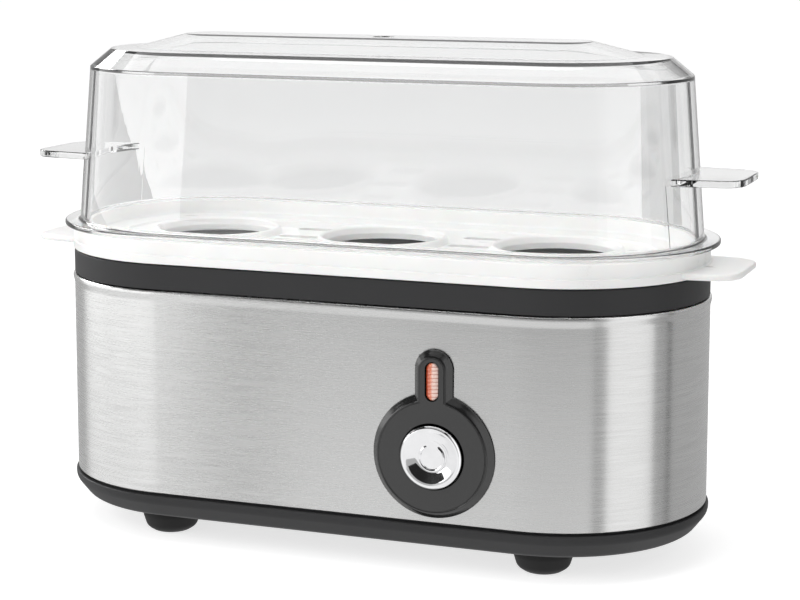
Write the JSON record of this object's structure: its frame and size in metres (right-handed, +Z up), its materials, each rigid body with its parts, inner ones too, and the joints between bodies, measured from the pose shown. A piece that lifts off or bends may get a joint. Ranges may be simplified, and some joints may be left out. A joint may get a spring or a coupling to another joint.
{
  "type": "egg cooker",
  "caption": "Electric egg cooker: round-ended brushed steel body on a black base, white lift-off egg tray with end tabs, clear lid, keyhole control panel with push button and lamp.",
  "frame": {"origin": "on the ground under the middle of the body", "axes": "+X along the body towards its right-hand end, +Y from the front to the back, +Z up; the control panel faces -Y"},
  "size_m": [0.204, 0.0868, 0.1372],
  "materials": {
    "black_plastic": "fine satin moulded, soft highlights",
    "rubber": "matt",
    "brushed_steel": "fine horizontal brushing, bright rolled lip",
    "zinc_steel": "bright zinc plate",
    "dish_aluminium": "spun, light water scale",
    "silicone": "matt translucent",
    "element_sheath": "dull oxidised sheath",
    "brass": "satin",
    "beige_thermoset": "matt moulded",
    "white_plastic": "smooth satin moulded",
    "clear_plastic": "clear polished",
    "chrome": "polished, slightly clouded face",
    "dark_plastic": "matt moulded",
    "amber_plastic": "ribbed, translucent",
    "lamp_glass": "clear",
    "lead_red": "soft insulation",
    "lead_blue": "soft insulation"
  },
  "bodies": {
    "cooker": {"base": "black_plastic", "upper_ring": "black_plastic", "control_panel": "black_plastic", "foot_1": "rubber", "foot_2": "rubber", "foot_3": "rubber", "foot_4": "rubber", "cord_gland": "rubber", "steel_sleeve": "brushed_steel", "base_screw_1": "zinc_steel", "base_screw_2": "zinc_steel", "base_screw_3": "zinc_steel", "base_screw_4": "zinc_steel", "bracket_screw_1": "zinc_steel", "bracket_screw_2": "zinc_steel", "thermostat_screw_1": "zinc_steel", "thermostat_screw_2": "zinc_steel", "clamp_nut_1": "zinc_steel", "clamp_nut_2": "zinc_steel", "panel_nut_1": "zinc_steel", "panel_nut_2": "zinc_steel", "element_clamp_1": "zinc_steel", "element_clamp_2": "zinc_steel", "fuse_clip": "zinc_steel", "switch_bracket": "zinc_steel", "heating_dish": "dish_aluminium", "heat_plate": "dish_aluminium", "dish_seal": "silicone", "heating_element": "element_sheath", "element_terminal_1": "brass", "element_terminal_2": "brass", "thermostat": "beige_thermoset", "thermal_fuse": "beige_thermoset", "terminal_block": "beige_thermoset", "lamp_holder": "white_plastic", "switch_housing": "dark_plastic", "gland_nut": "dark_plastic", "indicator_lens": "amber_plastic", "indicator_lamp": "lamp_glass", "lead_block_to_switch": "lead_red", "lead_block_to_thermostat": "lead_red", "lead_fuse_to_element": "lead_red", "lead_switch_to_element": "lead_blue", "lead_thermostat_to_fuse": "lead_blue"},
    "tray": {"egg_tray": "white_plastic"},
    "lid": {"lid": "clear_plastic"},
    "button": {"power_button": "chrome", "switch_plunger": "white_plastic", "switch_spring": "zinc_steel"}
  },
  "joints": [
    {"name": "tray_lift", "type": "slide", "parent": "cooker", "child": "tray", "axis": [0, 0, 1], "range_m": [0, 0.06]},
    {"name": "lid_lift", "type": "slide", "parent": "tray", "child": "lid", "axis": [0, 0, 1], "range_m": [0, 0.06]},
    {"name": "button_press", "type": "slide", "parent": "cooker", "child": "button", "axis": [0, 1, 0], "range_m": [0, 0.002], "stiffness_N_per_m": 400, "springref_m": -0.001, "deforming": ["switch_spring"]}
  ]
}
